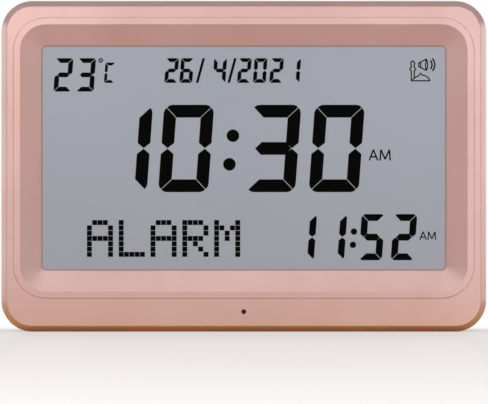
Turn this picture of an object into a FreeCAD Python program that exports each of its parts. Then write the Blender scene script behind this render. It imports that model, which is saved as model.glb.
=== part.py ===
import FreeCAD
import Part
import math
import os
import re

import Sketcher
from FreeCAD import Placement, Rotation, Vector

# Desk and wall prayer-time clock: a two-shell case with a sloped display window, in millimetres.
# +X is to the right seen from the front, the display faces -Y, and +Z is up.
# The origin is on the table, under the middle of the case.

SIZES = {
    # display window and the borders round it, seen from the front
    "window_width": 184,
    "window_height": 102.4,
    "window_corner": 2.5,
    "slope_width": 9.3,
    "ring_width": 3.1,
    "face_side": 3.0,
    "face_top": 5.0,
    "face_bottom": 12.6,
    "bevel_width": 2.6,
    "case_corner": 14,
    # front shell, from front to back
    "wall": 2.2,
    "front_depth": 16,
    "ring_rise": 0.5,
    "ring_edge": 0.3,
    "slope_depth": 4,
    "lip_depth": 1,
    "lip_draft": 0.8,
    "bevel_depth": 5.5,
    "face_edge": 0.5,
    "seam_edge": 0.3,
    # display stack, from front to back
    "glass_thickness": 1.1,
    "glass_border": 4,
    "contact_ledge": 3,
    "film_thickness": 0.3,
    "film_inset": 1,
    "guide_thickness": 2.5,
    "guide_inset": 2,
    "lamp_strip_thickness": 0.8,
    "lamp_strip_length": 96,
    "lamp_length": 3,
    "tray_play": 0.3,
    "tray_wall": 1.2,
    "tray_ear": 7,
    "rubber_strip_width": 2.2,
    "rubber_strip_length": 148,
    # main circuit board and what is on it
    "board_standoff": 2,
    "board_thickness": 1.6,
    "board_width": 156,
    "board_gap": 2.4,
    "board_boss_spacing": 66,
    "tray_boss_spacing": 33,
    "board_post_spacing": 68,
    "chip_cover_radius": 8,
    "chip_cover_height": 1.8,
    "sound_chip_length": 5,
    "sound_chip_width": 4,
    "sound_chip_height": 1.6,
    "crystal_radius": 1.1,
    "crystal_length": 6,
    "capacitor_radius": 3.2,
    "capacitor_height": 7,
    "socket_width": 8,
    "socket_depth": 5,
    "socket_height": 4,
    "thermistor_radius": 1.2,
    # bosses and screws
    "case_boss_inset": 9,
    "side_boss_inset": 7,
    "case_boss_radius": 3.25,
    "case_tube_radius": 4.1,
    "case_screw_radius": 1.4,
    "case_screw_bite": 7,
    "case_screw_head_radius": 2.7,
    "case_screw_head": 1.8,
    "tube_floor": 2.4,
    "small_boss_radius": 2.7,
    "small_screw_radius": 1,
    "small_screw_bite": 4.5,
    "small_screw_head_radius": 1.9,
    "small_screw_head": 1.3,
    "screw_play": 0.25,
    "thread_play": 0.02,
    # light sensor behind its hole in the lower border
    "sensor_height": 9.2,
    "sensor_hole_radius": 1.1,
    "sensor_radius": 1.5,
    "sensor_length": 4.4,
    "sensor_sleeve": 1.2,
    # rear shell
    "rear_edge": 4,
    "tongue_height": 1.5,
    "tongue_play": 0.1,
    "keyhole_spacing": 120,
    "keyhole_drop": 20,
    "keyhole_radius": 4.25,
    "keyhole_slot_radius": 2.1,
    "keyhole_rise": 8,
    # battery bay and its door
    "cell_radius": 7.1,
    "cell_length": 49.5,
    "cell_nub_radius": 2.65,
    "cell_nub": 1,
    "cell_play": 0.6,
    "bay_floor": 1.4,
    "bay_gap": 0.4,
    "bay_base": 14,
    "contact_thickness": 0.4,
    "contact_size": 10,
    "spring_length": 6.2,
    "spring_wire_radius": 0.45,
    "spring_coil_radius": 3.4,
    "spring_turns": 4,
    "column_gap": 13,
    "door_ledge": 1,
    "door_gap": 0.3,
    "tongue_width": 6,
    "tongue_thickness": 1.2,
    "tongue_reach": 1.4,
    "latch_width": 11,
    "latch_length": 9,
    "latch_slot": 0.8,
    "scoop_depth": 1.2,
    # loudspeaker and its grille
    "speaker_height": 42,
    "speaker_radius": 25,
    "speaker_rim": 1,
    "speaker_rim_width": 3,
    "speaker_sheet": 0.6,
    "gasket_thickness": 0.8,
    "magnet_radius": 13,
    "magnet_thickness": 6,
    "magnet_gap": 1.2,
    "cone_thickness": 0.5,
    "cone_neck_radius": 6,
    "grille_radius": 21,
    "grille_slot": 1.8,
    "grille_pitch": 4,
    "speaker_head_radius": 4.4,
    # push keys in their sunk panel
    "key_row_height": 112,
    "key_pitch": 15,
    "key_length": 9,
    "key_width": 5,
    "key_play": 0.15,
    "key_proud": 1.3,
    "key_flange": 1,
    "key_flange_border": 1.2,
    "key_travel": 0.4,
    "panel_recess": 1.6,
    "panel_width": 15,
    "panel_end": 6,
    "panel_corner": 3,
    "switch_size": 6,
    "switch_height": 3.5,
    "plunger_radius": 1.75,
    "plunger_proud": 0.9,
    "plunger_root": 1,
    "key_board_thickness": 1.2,
    "key_board_width": 14,
    "reset_radius": 1,
    # folding table stand
    "stand_width": 44,
    "stand_length": 73,
    "stand_thickness": 3,
    "stand_foot_gap": 5,
    "stand_play": 0.4,
    "stand_under_gap": 0.3,
    "stand_pin_radius": 1,
    "stand_pin_length": 2,
    "stand_pin_play": 0.08,
    "stand_notch_radius": 8,
    "recess_floor": 1.6,
    # wires inside the case
    "wire_radius": 0.6,
    "ribbon_width": 8,
    "ribbon_thickness": 0.6,
}

doc = FreeCAD.newDocument("azan_clock")
sheet = doc.addObject("Spreadsheet::Sheet", "Sizes")
for row, (name, number) in enumerate(SIZES.items(), start=1):
    sheet.set(f"A{row}", name)
    sheet.set(f"B{row}", str(number))
    sheet.setAlias(f"B{row}", name)
doc.recompute()

SIZE_WORDS = re.compile(r"\b(" + "|".join(SIZES) + r")\b")
PIECES = []


def amount(text):
    """The value of a formula written with the sizes' own words."""
    return float(sheet.evalExpression(text))


def bind(item, place, text):
    """Ties a property to a formula of the sizes."""
    item.setExpression(place, SIZE_WORDS.sub(r"Sizes.\1", text))


def fail_if_bad(item):
    """Stops the build when a feature has no sound shape."""
    doc.recompute()
    bad = {"Invalid", "Error"} & set(item.State)
    if bad or item.Shape.isNull() or not item.Shape.isValid():
        raise RuntimeError(f"{item.Label}: {item.State}")
    return item


def piece(item, name):
    """Names a finished sub-part, which is then written to its own file."""
    item.Label = name
    PIECES.append(fail_if_bad(item))
    return item


# Levels from front to back, all worked out from the stack of parts that the case holds.
display_stack = "(2 * glass_thickness + film_thickness + guide_thickness + tray_wall)"
cell_stack = "(bay_gap + bay_floor + 2 * cell_radius + cell_play + wall)"
depth = f"(slope_depth + lip_depth + {display_stack} + {cell_stack})"
front = f"(-{depth} / 2)"
back = f"({depth} / 2)"
face = f"({front} + ring_rise)"
face_inside = f"({face} + wall)"
parting = f"({front} + front_depth)"
slope_end = f"({front} + slope_depth)"
glass = f"({slope_end} + lip_depth)"
rear_glass = f"({glass} + glass_thickness)"
film = f"({rear_glass} + glass_thickness)"
guide = f"({film} + film_thickness)"
guide_rear = f"({guide} + guide_thickness)"
tray_rear = f"({guide_rear} + tray_wall)"
board = f"({tray_rear} + board_standoff)"
board_rear = f"({board} + board_thickness)"
rear_inside = f"({back} - wall)"

# Outline seen from the front, worked out from the window and its borders.
border = "(slope_width + ring_width + bevel_width)"
width = f"(window_width + 2 * ({border} + face_side))"
height = f"(window_height + 2 * {border} + face_top + face_bottom)"
window_z = f"({border} + face_bottom + window_height / 2)"
glass_width = "(window_width + 2 * glass_border)"
glass_bottom = f"({window_z} - window_height / 2 - glass_border)"
glass_top = f"({window_z} + window_height / 2 + glass_border + contact_ledge)"
rear_glass_top = f"({glass_top} - contact_ledge)"
tray_margin = "(tray_play + tray_wall)"

# Plan of the rear shell: stand in the middle, loudspeaker and battery bay beside it.
stand_recess_half = "(stand_width / 2 + stand_play)"
bay_inner_width = "(6 * cell_radius + 4 * cell_play)"
bay_length = "(cell_length + cell_nub + spring_length + 2 * contact_thickness)"
bay_top = f"(bay_base + {bay_length})"
bay_x = f"({stand_recess_half} + column_gap + 2 * wall + {bay_inner_width} / 2)"
bay_outside = f"({rear_inside} - cell_play - 2 * cell_radius - bay_floor)"
cell_y = f"({rear_inside} - cell_play - cell_radius)"
speaker_x = f"(-{bay_x})"
board_bottom = f"({bay_top} + wall + board_gap)"
board_boss_z = f"({height} - wall - small_boss_radius - 2)"
board_top = f"({board_boss_z} + small_boss_radius + 0.6)"
board_post_z = f"({board_bottom} + 5)"
stand_axis_z = "(stand_foot_gap + stand_length)"
stand_axis_y = f"({back} - stand_thickness / 2 - 0.1)"
recess_bottom = f"({back} - stand_thickness - 0.1 - stand_under_gap)"
panel_floor = f"({back} - panel_recess)"
panel_inside = f"({panel_floor} - wall)"
key_flange_top = f"({panel_inside} - 0.1)"
plunger_tip = f"({key_flange_top} - key_flange)"
switch_top = f"({plunger_tip} - plunger_proud)"
key_board_rear = f"({switch_top} - switch_height)"
key_board_front = f"({key_board_rear} - key_board_thickness)"
reset_x = "(3.4 * key_pitch)"
panel_half = f"({reset_x} + panel_end)"
key_post_x = f"({panel_half} + wall + small_boss_radius + 1)"

CASE_BOSSES = [
    (f"{side} * ({width} / 2 - {inset})", up)
    for side in (-1, 1)
    for inset, up in (
        ("case_boss_inset", "case_boss_inset"),
        ("side_boss_inset", f"{height} / 2"),
        ("case_boss_inset", f"{height} - case_boss_inset"),
    )
]
BOARD_BOSSES = [(f"{side} * board_boss_spacing", board_boss_z) for side in (-1, 0, 1)]
BOARD_POSTS = [(f"{side} * board_post_spacing", board_post_z) for side in (-1, 1)]
TRAY_EAR_Z = f"({glass_bottom} - {tray_margin} - tray_ear / 2)"
TRAY_EAR_TOP_Z = f"({glass_top} + {tray_margin} + tray_ear / 2)"
TRAY_BOSSES = [
    (f"{side} * tray_boss_spacing", up) for side in (-1, 1) for up in (TRAY_EAR_Z, TRAY_EAR_TOP_Z)
]
KEY_POSTS = [(f"{side} * {key_post_x}", "key_row_height") for side in (-1, 1)]
SPEAKER_POST_RADIUS = "(speaker_radius + small_boss_radius + 0.9)"
SPEAKER_POSTS = [
    (
        f"{speaker_x} + {SPEAKER_POST_RADIUS} * cos({angle})",
        f"speaker_height + {SPEAKER_POST_RADIUS} * sin({angle})",
    )
    for angle in (90, 210, 330)
]
KEY_NAMES = ("mode", "set", "up", "down", "azan", "light")
KEY_PLACES = {
    name: f"{place - 2.5} * key_pitch" for place, name in enumerate(KEY_NAMES)
}


class Maker:
    """One sub-part made of sketches and the features that use them."""

    def __init__(self, name):
        self.name = name
        self.body = doc.addObject("PartDesign::Body", name)
        self.count = 0

    def sketch(self, plane, level="0", across="0", up="0"):
        """A sketch parallel to an origin plane. XZ is seen from the front, YZ from the right."""
        self.count += 1
        item = self.body.newObject("Sketcher::SketchObject", f"{self.name}_sketch{self.count}")
        origin = next(f for f in self.body.Origin.OriginFeatures if f.Role == plane)
        item.AttachmentSupport = [(origin, "")]
        item.MapMode = "FlatFace"
        along = f"-({level})" if plane == "XZ_Plane" else level
        bind(item, ".AttachmentOffset.Base.x", across)
        bind(item, ".AttachmentOffset.Base.y", up)
        bind(item, ".AttachmentOffset.Base.z", along)
        return item

    def feature(self, kind, profile, length, to_back=True, both=False):
        """Pads or pockets a sketch. to_back runs along the far side of its plane's normal."""
        self.count += 1
        before = None if self.body.Tip is None else self.body.Tip.Shape.Volume
        item = self.body.newObject(f"PartDesign::{kind}", f"{self.name}_{kind}{self.count}")
        item.Profile = profile
        bind(item, "Length", length)
        item.Midplane = both
        item.Reversed = to_back if kind == "Pad" else not to_back
        profile.Visibility = False
        fail_if_bad(item)
        after = item.Shape.Volume
        if before is not None and (after <= before if kind == "Pad" else after >= before):
            raise RuntimeError(f"{item.Name} changes nothing")
        return item

    def pad(self, profile, length, **how):
        return self.feature("Pad", profile, length, **how)

    def pocket(self, profile, length, **how):
        return self.feature("Pocket", profile, length, **how)

    def loft_cut(self, first, second):
        """Cuts the straight-sided form between two like outlines."""
        self.count += 1
        item = self.body.newObject("PartDesign::SubtractiveLoft", f"{self.name}_loft{self.count}")
        item.Profile = first
        item.Sections = [second]
        item.Ruled = True
        return fail_if_bad(item)

    def edge_work(self, kind, edges, **sizes):
        """Fillets or chamfers the named edges of the tip."""
        self.count += 1
        base = self.body.Tip
        item = self.body.newObject(f"PartDesign::{kind}", f"{self.name}_{kind}{self.count}")
        item.Base = (base, edges)
        for place, text in sizes.items():
            bind(item, place, text)
        return item

    def edges_at(self, test):
        """Names of the tip's edges whose ends and middle all pass a test of their points."""
        found = []
        for number, edge in enumerate(self.body.Tip.Shape.Edges, start=1):
            middle = edge.valueAt((edge.FirstParameter + edge.LastParameter) / 2)
            if all(test(p) for p in [middle, *(v.Point for v in edge.Vertexes)]):
                found.append(f"Edge{number}")
        if not found:
            raise RuntimeError(f"{self.name}: no such edge")
        return found


def name_last(item, constraint, text):
    """Adds a size constraint and ties it to a formula."""
    number = item.addConstraint(constraint)
    item.renameConstraint(number, f"size{number}")
    bind(item, f"Constraints.size{number}", text)


def rounded_rectangle(item, across, up, corner, x="0", y="0"):
    """A rectangle round (x, y) in its sketch, with equal round corners."""
    half_w, half_h, r = amount(across) / 2, amount(up) / 2, amount(corner)
    cx, cy = amount(x), amount(y)

    def at(u, v):
        return Vector(cx + u, cy + v, 0)

    first = item.GeometryCount
    inner_w, inner_h = half_w - r, half_h - r
    item.addGeometry(
        [
            Part.LineSegment(at(-inner_w, -half_h), at(inner_w, -half_h)),
            Part.LineSegment(at(half_w, -inner_h), at(half_w, inner_h)),
            Part.LineSegment(at(inner_w, half_h), at(-inner_w, half_h)),
            Part.LineSegment(at(-half_w, inner_h), at(-half_w, -inner_h)),
        ]
    )
    corners = [(inner_w, -inner_h), (inner_w, inner_h), (-inner_w, inner_h), (-inner_w, -inner_h)]
    for turn, (u, v) in enumerate(corners):
        circle = Part.Circle(at(u, v), Vector(0, 0, 1), r)
        start = (turn - 1) * math.pi / 2
        item.addGeometry(Part.ArcOfCircle(circle, start, start + math.pi / 2))
    for side in range(4):
        arc = first + 4 + side
        item.addConstraint(Sketcher.Constraint("Tangent", first + side, 2, arc, 1))
        item.addConstraint(Sketcher.Constraint("Tangent", arc, 2, first + (side + 1) % 4, 1))
        kind = "Vertical" if side % 2 else "Horizontal"
        item.addConstraint(Sketcher.Constraint(kind, first + side))
        if side:
            item.addConstraint(Sketcher.Constraint("Equal", first + 4, arc))
    name_last(item, Sketcher.Constraint("Radius", first + 4, r), corner)
    for kind, line, sign, middle, size, where in (
        ("DistanceX", 1, 1, cx, across, x),
        ("DistanceX", 3, -1, cx, across, x),
        ("DistanceY", 2, 1, cy, up, y),
        ("DistanceY", 0, -1, cy, up, y),
    ):
        value = middle + sign * amount(size) / 2
        rule = Sketcher.Constraint(kind, -1, 1, first + line, 1, value)
        name_last(item, rule, f"{where} + {sign} * ({size}) / 2")


def rectangle(item, across, up, x="0", y="0"):
    """A sharp rectangle round (x, y) in its sketch."""
    half_w, half_h = amount(across) / 2, amount(up) / 2
    cx, cy = amount(x), amount(y)
    points = [
        Vector(cx + u * half_w, cy + v * half_h, 0)
        for u, v in ((-1, -1), (1, -1), (1, 1), (-1, 1))
    ]
    first = item.GeometryCount
    for side in range(4):
        item.addGeometry(Part.LineSegment(points[side], points[(side + 1) % 4]))
    for side in range(4):
        following = first + (side + 1) % 4
        item.addConstraint(Sketcher.Constraint("Coincident", first + side, 2, following, 1))
        kind = "Vertical" if side % 2 else "Horizontal"
        item.addConstraint(Sketcher.Constraint(kind, first + side))
    for corner, sign in ((0, -1), (2, 1)):
        rule = Sketcher.Constraint("DistanceX", -1, 1, first + corner, 1, points[corner].x)
        name_last(item, rule, f"{x} + {sign} * ({across}) / 2")
        rule = Sketcher.Constraint("DistanceY", -1, 1, first + corner, 1, points[corner].y)
        name_last(item, rule, f"{y} + {sign} * ({up}) / 2")


def circle(item, radius, x="0", y="0"):
    """A circle round (x, y) in its sketch."""
    middle = Vector(amount(x), amount(y), 0)
    number = item.addGeometry(Part.Circle(middle, Vector(0, 0, 1), amount(radius)))
    name_last(item, Sketcher.Constraint("Radius", number, amount(radius)), radius)
    name_last(item, Sketcher.Constraint("DistanceX", -1, 1, number, 3, middle.x), x)
    name_last(item, Sketcher.Constraint("DistanceY", -1, 1, number, 3, middle.y), y)


def polygon(item, corners):
    """A closed outline of straight sides through corners, each a pair of formulas."""
    points = [Vector(amount(x), amount(y), 0) for x, y in corners]
    first = item.GeometryCount
    total = len(points)
    for side in range(total):
        item.addGeometry(Part.LineSegment(points[side], points[(side + 1) % total]))
    for side, (x, y) in enumerate(corners):
        before = first + (side - 1) % total
        item.addConstraint(Sketcher.Constraint("Coincident", before, 2, first + side, 1))
        rule = Sketcher.Constraint("DistanceX", -1, 1, first + side, 1, points[side].x)
        name_last(item, rule, x)
        rule = Sketcher.Constraint("DistanceY", -1, 1, first + side, 1, points[side].y)
        name_last(item, rule, y)


def box(name, x, y, z):
    """A plain block from three (low, high) pairs of formulas."""
    item = doc.addObject("Part::Box", name)
    for place, size, (low, high) in (("x", "Length", x), ("y", "Width", y), ("z", "Height", z)):
        bind(item, f".Placement.Base.{place}", low)
        bind(item, size, f"{high} - ({low})")
    return fail_if_bad(item)


TURNS = {
    "x": Rotation(Vector(0, 1, 0), 90),
    "y": Rotation(Vector(1, 0, 0), -90),
    "z": Rotation(),
}


def rod(name, radius, length, start, axis="y"):
    """A round bar that runs from start along +X, +Y or +Z."""
    item = doc.addObject("Part::Cylinder", name)
    item.Placement = Placement(Vector(), TURNS[axis])
    bind(item, "Radius", radius)
    bind(item, "Height", length)
    for place, text in zip("xyz", start):
        bind(item, f".Placement.Base.{place}", text)
    return fail_if_bad(item)


def joined(name, items):
    item = doc.addObject("Part::MultiFuse", name)
    item.Shapes = items
    return fail_if_bad(item)


def cut(name, base, tool):
    before = base.Shape.Volume if not base.Shape.isNull() else None
    item = doc.addObject("Part::Cut", name)
    item.Base = base
    item.Tool = tool
    fail_if_bad(item)
    if before is not None and item.Shape.Volume >= before:
        raise RuntimeError(f"{name} cuts nothing")
    return item


def group(name, items):
    """Like pieces that share one node but stay separate solids."""
    item = doc.addObject("Part::Compound", name)
    item.Links = items
    return item


def screws(name, places, seat, bite, radius, head_radius, head, to_front=True):
    """Pan-head screws with a cross slot. seat is the level under the heads."""
    made = []
    for number, (x, z) in enumerate(places):
        tag = f"{name}_{number}"
        shank_start = f"{seat} - {bite}" if to_front else seat
        head_start = seat if to_front else f"{seat} - {head}"
        shank = rod(f"{tag}_shank", radius, bite, (x, shank_start, z))
        cap = rod(f"{tag}_cap", head_radius, head, (x, head_start, z))
        slot_low = f"{seat} + {head} / 2" if to_front else f"{seat} - {head}"
        slot = (slot_low, f"{slot_low} + {head} / 2")
        arm, half = f"(0.62 * {head_radius})", f"(0.13 * {head_radius})"
        cross = [
            box(f"{tag}_slot_x", (f"{x} - {arm}", f"{x} + {arm}"), slot, (f"{z} - {half}", f"{z} + {half}")),
            box(f"{tag}_slot_z", (f"{x} - {half}", f"{x} + {half}"), slot, (f"{z} - {arm}", f"{z} + {arm}")),
        ]
        made.append(cut(tag, joined(f"{tag}_blank", [shank, cap]), joined(f"{tag}_cross", cross)))
    return piece(group(name, made), name)


# Front shell: bevelled rim, raised ring, sloped window frame and screw bosses.
bezel = Maker("front_shell")
bevel_start = bezel.sketch("XZ_Plane", face)
inset_width, inset_height = f"({width} - 2 * bevel_width)", f"({height} - 2 * bevel_width)"
rounded_rectangle(bevel_start, inset_width, inset_height, "case_corner - bevel_width", "0", f"{height} / 2")
bevel_end = bezel.sketch("XZ_Plane", f"{face} + bevel_depth")
rounded_rectangle(bevel_end, width, height, "case_corner", "0", f"{height} / 2")
bevel = bezel.body.newObject("PartDesign::AdditiveLoft", "front_bevel")
bevel.Profile = bevel_start
bevel.Sections = [bevel_end]
bevel.Ruled = True
fail_if_bad(bevel)
side_outline = bezel.sketch("XZ_Plane", f"{face} + bevel_depth")
rounded_rectangle(side_outline, width, height, "case_corner", "0", f"{height} / 2")
bezel.pad(side_outline, f"{parting} - {face} - bevel_depth")

cavity = bezel.sketch("XZ_Plane", parting)
rounded_rectangle(
    cavity, f"({width} - 2 * wall)", f"({height} - 2 * wall)", "case_corner - wall", "0", f"{height} / 2"
)
bezel.pocket(cavity, f"{parting} - {face} - bevel_depth", to_back=False)
taper = "(wall + 0.6 * bevel_width)"
taper_start = bezel.sketch("XZ_Plane", f"{face} + bevel_depth")
rounded_rectangle(
    taper_start, f"({width} - 2 * wall)", f"({height} - 2 * wall)", "case_corner - wall", "0", f"{height} / 2"
)
taper_end = bezel.sketch("XZ_Plane", face_inside)
rounded_rectangle(
    taper_end,
    f"({width} - 2 * {taper})",
    f"({height} - 2 * {taper})",
    f"case_corner - {taper}",
    "0",
    f"{height} / 2",
)
bezel.loft_cut(taper_start, taper_end)

seat = "(glass_border - 0.8)"


def window_outline(maker, level, grow):
    """The window's outline, grown by a formula on every side."""
    item = maker.sketch("XZ_Plane", level)
    across = f"(window_width + 2 * {grow})"
    up = f"(window_height + 2 * {grow})"
    rounded_rectangle(item, across, up, f"window_corner + {grow}", "0", window_z)
    return item


frame_root = window_outline(bezel, face_inside, "slope_width")
frame_seat = window_outline(bezel, glass, seat)
frame = bezel.body.newObject("PartDesign::AdditiveLoft", "window_frame")
frame.Profile = frame_root
frame.Sections = [frame_seat]
frame.Ruled = True
fail_if_bad(frame)
bezel.pad(window_outline(bezel, front, "(slope_width + ring_width)"), "ring_rise")
bezel.loft_cut(window_outline(bezel, front, "slope_width"), window_outline(bezel, slope_end, "0"))
lip_front = window_outline(bezel, slope_end, "0")
lip_back = window_outline(bezel, glass, "(-1 * lip_draft)")
bezel.loft_cut(lip_front, lip_back)

for places, top in (
    (CASE_BOSSES, f"{parting} - 0.1"),
    (TRAY_BOSSES, guide_rear),
    (BOARD_BOSSES, board),
):
    bosses = bezel.sketch("XZ_Plane", face_inside)
    pilots = bezel.sketch("XZ_Plane", top)
    big = places is CASE_BOSSES
    for x, z in places:
        circle(bosses, "case_boss_radius" if big else "small_boss_radius", x, z)
        circle(pilots, f"{'case' if big else 'small'}_screw_radius + thread_play", x, z)
    bezel.pad(bosses, f"{top} - {face_inside}")
    bite = "case_screw_bite" if big else "small_screw_bite"
    bezel.pocket(pilots, f"{bite} + 0.5", to_back=False)

sleeve = bezel.sketch("XZ_Plane", face_inside)
sleeve_bore = "(sensor_radius + thread_play)"
circle(sleeve, f"{sleeve_bore} + sensor_sleeve", "0", "sensor_height")
bezel.pad(sleeve, "0.75 * sensor_length")
sleeve_hole = bezel.sketch("XZ_Plane", f"{face_inside} + 0.75 * sensor_length")
circle(sleeve_hole, sleeve_bore, "0", "sensor_height")
bezel.pocket(sleeve_hole, "0.75 * sensor_length", to_back=False)
sensor_hole = bezel.sketch("XZ_Plane", face_inside)
circle(sensor_hole, "sensor_hole_radius", "0", "sensor_height")
bezel.pocket(sensor_hole, "wall", to_back=False)

face_y, front_y, parting_y = amount(face), amount(front), amount(parting)
half_w, half_h = amount(width) / 2, amount(height) / 2
inset = amount("bevel_width")


def near(value, target):
    return abs(value - target) < 0.01


def on_rim(p, gap):
    """True within a hair of the case outline pulled in by a gap, or of its round corners."""
    u, v = abs(p.x), abs(p.z - half_h)
    reach = amount("case_corner")
    du, dv = u - (half_w - reach), v - (half_h - reach)
    if du > 0 and dv > 0:
        return near(math.hypot(du, dv), reach - gap)
    return near(max(du, dv), reach - gap)


rim_edges = bezel.edges_at(lambda p: near(p.y, face_y) and on_rim(p, inset))
fail_if_bad(bezel.edge_work("Fillet", rim_edges, Radius="face_edge"))
ring_x = amount("window_width / 2 + slope_width + ring_width")
ring_reach = amount("window_corner + slope_width + ring_width")
window_middle = amount(window_z)
ring_half_h = amount("window_height / 2 + slope_width + ring_width")


def on_ring(p):
    du = abs(p.x) - (ring_x - ring_reach)
    dv = abs(p.z - window_middle) - (ring_half_h - ring_reach)
    spread = math.hypot(du, dv) if du > 0 and dv > 0 else max(du, dv)
    return near(p.y, front_y) and near(spread, ring_reach)


fail_if_bad(bezel.edge_work("Fillet", bezel.edges_at(on_ring), Radius="ring_edge"))
seam_edges = bezel.edges_at(lambda p: near(p.y, parting_y) and on_rim(p, 0))
fail_if_bad(bezel.edge_work("Chamfer", seam_edges, Size="seam_edge"))
piece(bezel.body, "front_bezel")

# Rear shell: tongue, screw tubes, stand recess, key panel, battery bay and speaker posts.
cover = Maker("rear_shell")
middle_z = f"{height} / 2"
outline = cover.sketch("XZ_Plane", parting)
rounded_rectangle(outline, width, height, "case_corner", "0", middle_z)
cover.pad(outline, f"{back} - {parting}")
back_y = amount(back)
back_edges = cover.edges_at(lambda p: near(p.y, back_y))
fail_if_bad(cover.edge_work("Fillet", back_edges, Radius="rear_edge"))
front_edges = cover.edges_at(lambda p: near(p.y, parting_y))
fail_if_bad(cover.edge_work("Chamfer", front_edges, Size="seam_edge"))
hollow = cover.sketch("XZ_Plane", parting)
rounded_rectangle(
    hollow, f"({width} - 2 * wall)", f"({height} - 2 * wall)", "case_corner - wall", "0", middle_z
)
cover.pocket(hollow, f"{rear_inside} - {parting}", to_back=True)
tongue = cover.sketch("XZ_Plane", f"{parting} - tongue_height")
tongue_out = "(wall + tongue_play)"
tongue_in = "(wall + tongue_play + 1)"
for gap in (tongue_out, tongue_in):
    rounded_rectangle(
        tongue, f"({width} - 2 * {gap})", f"({height} - 2 * {gap})", f"case_corner - {gap}", "0", middle_z
    )
cover.pad(tongue, "tongue_height")
tongue_root = cover.sketch("XZ_Plane", parting)
for gap in ("(wall / 2)", tongue_in):
    rounded_rectangle(
        tongue_root,
        f"({width} - 2 * {gap})",
        f"({height} - 2 * {gap})",
        f"case_corner - {gap}",
        "0",
        middle_z,
    )
cover.pad(tongue_root, "tongue_height")

tubes = cover.sketch("XZ_Plane", parting)
for x, z in CASE_BOSSES:
    circle(tubes, "case_tube_radius", x, z)
cover.pad(tubes, f"{rear_inside} - {parting}")

recess_half = stand_recess_half
recess_low = "(stand_foot_gap - stand_play)"
recess_high = f"({stand_axis_z} + stand_thickness / 2 + stand_play)"
recess_middle = f"(({recess_low} + {recess_high}) / 2)"
shelf = cover.sketch("XZ_Plane", f"{recess_bottom} - recess_floor")
shelf_reach = "(stand_pin_length + wall)"
rectangle(
    shelf,
    f"(2 * ({recess_half} + {shelf_reach}))",
    f"({recess_high} - {recess_low} + 2 * wall)",
    "0",
    recess_middle,
)
cover.pad(shelf, f"{rear_inside} - {recess_bottom} + recess_floor")
stand_recess = cover.sketch("XZ_Plane", back)
rounded_rectangle(
    stand_recess, f"(2 * {recess_half})", f"({recess_high} - {recess_low})", "1", "0", recess_middle
)
cover.pocket(stand_recess, f"{back} - {recess_bottom}", to_back=False)
pin_bore = cover.sketch("YZ_Plane", "0")
circle(pin_bore, "stand_pin_radius + stand_pin_play", stand_axis_y, stand_axis_z)
cover.pocket(pin_bore, f"2 * ({recess_half} + stand_pin_length + stand_play)", both=True)
notch = cover.sketch("XZ_Plane", back)
circle(notch, "stand_notch_radius", "0", f"{recess_low} + 1.5")
cover.pocket(notch, f"{back} - {recess_bottom}", to_back=False)

panel_shelf = cover.sketch("XZ_Plane", panel_inside)
rounded_rectangle(
    panel_shelf, f"(2 * ({panel_half} + wall))", "(panel_width + 2 * wall)", "panel_corner + wall",
    "0", "key_row_height",
)
cover.pad(panel_shelf, f"{rear_inside} - {panel_inside}")
panel = cover.sketch("XZ_Plane", back)
rounded_rectangle(panel, f"(2 * {panel_half})", "panel_width", "panel_corner", "0", "key_row_height")
cover.pocket(panel, "panel_recess", to_back=False)
key_holes = cover.sketch("XZ_Plane", back)
for x in KEY_PLACES.values():
    rounded_rectangle(
        key_holes, "(key_length + 2 * key_play)", "(key_width + 2 * key_play)", "1 + key_play",
        x, "key_row_height",
    )
circle(key_holes, "reset_radius", reset_x, "key_row_height")
cover.pocket(key_holes, "2 * wall + panel_recess", to_back=False)

bay_outer = f"({bay_inner_width} + 2 * wall)"
bay_middle = f"(bay_base + {bay_length} / 2)"
bay_block = cover.sketch("XZ_Plane", bay_outside)
rectangle(bay_block, bay_outer, f"({bay_length} + 2 * wall)", bay_x, bay_middle)
cover.pad(bay_block, f"{rear_inside} - {bay_outside}")
bay = cover.sketch("XZ_Plane", back)
rectangle(bay, bay_inner_width, bay_length, bay_x, bay_middle)
cover.pocket(bay, f"{back} - {bay_outside} - bay_floor", to_back=False)
door_seat = f"({back} - wall + 0.2)"
door_recess = cover.sketch("XZ_Plane", back)
door_recess_width = f"({bay_inner_width} + 2 * door_ledge)"
door_recess_height = f"({bay_length} + 2 * door_ledge)"
rounded_rectangle(door_recess, door_recess_width, door_recess_height, "1.5", bay_x, bay_middle)
cover.pocket(door_recess, f"{back} - {door_seat}", to_back=False)
tongue_x = "(cell_radius + cell_play / 2)"
tongue_outer = f"({door_seat} - door_gap)"
tongue_inner = f"({tongue_outer} - tongue_thickness)"
tongue_slots = cover.sketch("XZ_Plane", f"{tongue_outer} + door_gap")
for side in (-1, 1):
    rectangle(
        tongue_slots, "(tongue_width + 2 * door_gap)", "(2 * (door_ledge + tongue_reach))",
        f"{bay_x} + {side} * {tongue_x}", "bay_base",
    )
cover.pocket(tongue_slots, "tongue_thickness + 3 * door_gap", to_back=False)
cell_pitch = "(2 * cell_radius + cell_play)"
lead_y = f"({cell_y} + 3)"

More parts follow.
